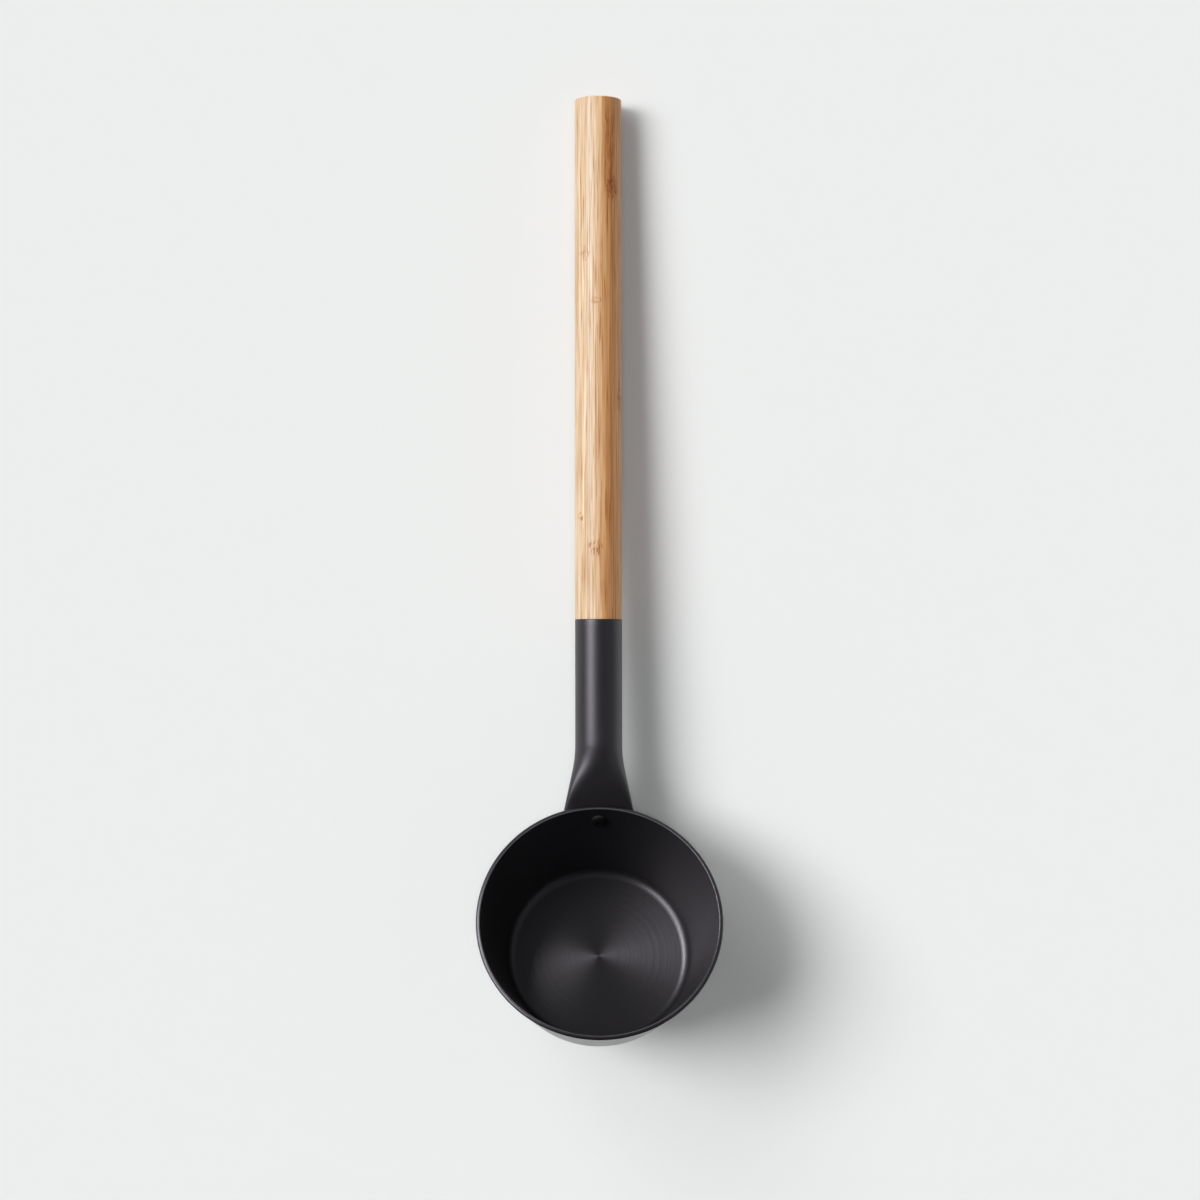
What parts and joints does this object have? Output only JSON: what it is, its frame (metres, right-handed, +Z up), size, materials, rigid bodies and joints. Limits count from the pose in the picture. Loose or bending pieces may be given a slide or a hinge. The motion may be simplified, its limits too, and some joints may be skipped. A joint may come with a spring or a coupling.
{
  "type": "sauna ladle",
  "caption": "Sauna ladle with a round tapered black metal cup, a flared black neck and a straight round bamboo handle, for scooping water onto hot stones.",
  "frame": {"origin": "on the table under the middle of the ladle's box, with the ladle lying as it is put down", "axes": "+Y along the handle from the cup to the handle's end, as seen from above; +Z up from the table; +X to the right of both"},
  "size_m": [0.1026, 0.4022, 0.0828],
  "materials": {
    "black_anodised": "black anodised, satin, with concentric turning marks on the floor",
    "black_moulded": "satin black moulding with a very fine grain",
    "bamboo": "laminated bamboo, sanded and satin lacquered",
    "blackened_steel": "blackened",
    "black_rubber": "matt",
    "brass": "machined",
    "zinc_plated_steel": "zinc plated"
  },
  "bodies": {
    "root": {"cup": "black_anodised", "neck": "black_moulded", "handle": "bamboo", "cup_screw": "blackened_steel", "seal_washer": "black_rubber", "cup_insert": "brass", "handle_stud": "zinc_plated_steel", "stud_insert": "brass"}
  },
  "joints": []
}
